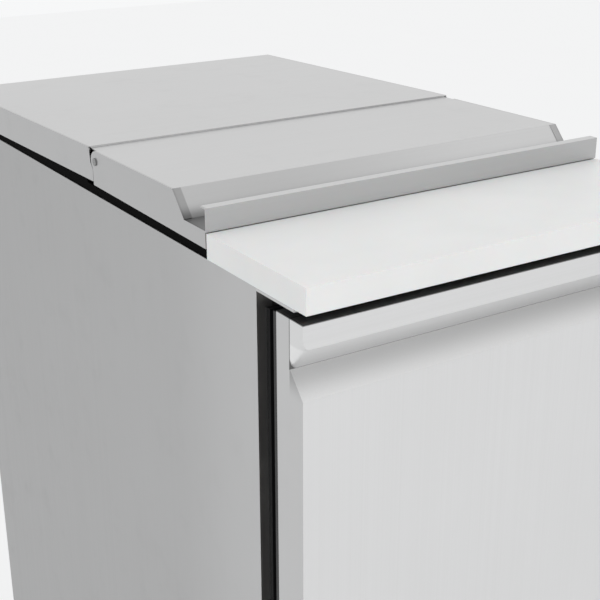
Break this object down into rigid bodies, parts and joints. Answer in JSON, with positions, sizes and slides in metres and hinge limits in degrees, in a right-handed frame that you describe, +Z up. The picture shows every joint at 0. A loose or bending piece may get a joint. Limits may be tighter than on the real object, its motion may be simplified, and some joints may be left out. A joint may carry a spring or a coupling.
{
  "type": "sandwich prep table",
  "caption": "Compact stainless refrigerated sandwich prep table with one door, a white cutting board, three food pans and a two-part folding lid.",
  "frame": {"origin": "on the floor, under the middle of the cabinet's bounding box", "axes": "+Z up, the door and cutting board face -Y, +X to the right as seen from the front"},
  "size_m": [0.437, 0.768, 0.8703],
  "materials": {
    "stainless": "fine brushed satin",
    "liner_steel": "smooth satin",
    "galvanised": "matt zinc",
    "insulation": "closed-cell foam",
    "black_plastic": "satin moulded",
    "seal_rubber": "soft matt",
    "white_board": "fine matt polyethylene",
    "screw_steel": "machined",
    "foot_plastic": "moulded",
    "wire_coat": "gloss coat",
    "coil_alloy": "plain",
    "black_paint": "semi-gloss",
    "display": "gloss",
    "keys": "matt",
    "rocker": "gloss"
  },
  "bodies": {
    "cabinet": {"side_panel_left": "stainless", "side_panel_right": "stainless", "back_panel": "stainless", "front_header": "stainless", "front_sill": "stainless", "top_frame": "stainless", "board_rail": "stainless", "pan_support_bars": "stainless", "inner_liner": "liner_steel", "header_liner": "liner_steel", "food_pans": "liner_steel", "shelf_rails": "liner_steel", "legs": "liner_steel", "evaporator_cover": "liner_steel", "base_plate": "galvanised", "machine_bay_lining": "galvanised", "rear_grille": "galvanised", "door_hinge_brackets": "galvanised", "condenser_shroud": "galvanised", "cabinet_insulation": "insulation", "front_frame": "black_plastic", "controller": "black_plastic", "switch_housing": "black_plastic", "compressor_mounts": "seal_rubber", "cord_grommet": "seal_rubber", "lid_hinge_blocks": "screw_steel", "wire_shelf": "wire_coat", "evaporator_coil": "coil_alloy", "condenser": "coil_alloy", "compressor": "black_paint", "evaporator_fan_motor": "black_paint", "condenser_fan_motor": "black_paint", "controller_display": "display"},
    "rear_lid": {"rear_lid_skin": "stainless", "rear_lid_inner_panel": "stainless", "rear_lid_insulation": "insulation", "rear_lid_seal": "seal_rubber", "lid_screws": "screw_steel"},
    "front_lid": {"front_lid_skin": "stainless", "front_lid_inner_panel": "stainless", "front_lid_insulation": "insulation", "front_lid_seal": "seal_rubber"},
    "door": {"door_skin": "stainless", "door_grip": "stainless", "door_frame": "black_plastic", "door_inner_panel": "stainless", "door_insulation": "insulation", "door_bushes": "black_plastic", "door_gasket": "seal_rubber"},
    "board": {"cutting_board": "white_board"},
    "evaporator_rotor": {"evaporator_fan": "black_plastic"},
    "condenser_rotor": {"condenser_fan": "black_plastic"},
    "set_key": {"key_set": "keys"},
    "up_key": {"key_up": "keys"},
    "down_key": {"key_down": "keys"},
    "mains_rocker": {"switch_rocker": "rocker"},
    "front_left_foot": {"foot_front_left": "foot_plastic"},
    "front_right_foot": {"foot_front_right": "foot_plastic"},
    "rear_left_foot": {"foot_rear_left": "foot_plastic"},
    "rear_right_foot": {"foot_rear_right": "foot_plastic"}
  },
  "joints": [
    {"name": "rear_lid_lift", "type": "hinge", "parent": "cabinet", "child": "rear_lid", "pos_m": [0, 0.3795, 0.8315], "axis": [-1, 0, 0], "range_deg": [0, 85]},
    {"name": "front_lid_fold", "type": "hinge", "parent": "rear_lid", "child": "front_lid", "pos_m": [0, -0.0193, 0.8582], "axis": [-1, 0, 0], "range_deg": [0, 100]},
    {"name": "door_swing", "type": "hinge", "parent": "cabinet", "child": "door", "pos_m": [0.209, -0.35, 0.48], "axis": [0, 0, 1], "range_deg": [0, 105]},
    {"name": "board_lift_off", "type": "slide", "parent": "cabinet", "child": "board", "axis": [0, 0, 1], "range_m": [0, 0.12]},
    {"name": "evaporator_fan_spin", "type": "hinge", "parent": "cabinet", "child": "evaporator_rotor", "pos_m": [0, 0.284, 0.56], "axis": [0, 1, 0], "continuous": true},
    {"name": "condenser_fan_spin", "type": "hinge", "parent": "cabinet", "child": "condenser_rotor", "pos_m": [0.078, 0.296, 0.1955], "axis": [0, 1, 0], "continuous": true},
    {"name": "mains_rocker_tilt", "type": "hinge", "parent": "cabinet", "child": "mains_rocker", "pos_m": [-0.035, -0.3106, 0.115], "axis": [1, 0, 0], "range_deg": [0, 14]},
    {"name": "set_key_press", "type": "slide", "parent": "cabinet", "child": "set_key", "axis": [0, 1, 0], "range_m": [0, 0.0008], "stiffness_N_per_m": 300},
    {"name": "up_key_press", "type": "slide", "parent": "cabinet", "child": "up_key", "axis": [0, 1, 0], "range_m": [0, 0.0008], "stiffness_N_per_m": 300},
    {"name": "down_key_press", "type": "slide", "parent": "cabinet", "child": "down_key", "axis": [0, 1, 0], "range_m": [0, 0.0008], "stiffness_N_per_m": 300},
    {"name": "front_left_foot_screw_out", "type": "slide", "parent": "cabinet", "child": "front_left_foot", "axis": [0, 0, -1], "range_m": [0, 0.025]},
    {"name": "front_right_foot_screw_out", "type": "slide", "parent": "cabinet", "child": "front_right_foot", "axis": [0, 0, -1], "range_m": [0, 0.025]},
    {"name": "rear_left_foot_screw_out", "type": "slide", "parent": "cabinet", "child": "rear_left_foot", "axis": [0, 0, -1], "range_m": [0, 0.025]},
    {"name": "rear_right_foot_screw_out", "type": "slide", "parent": "cabinet", "child": "rear_right_foot", "axis": [0, 0, -1], "range_m": [0, 0.025]}
  ]
}
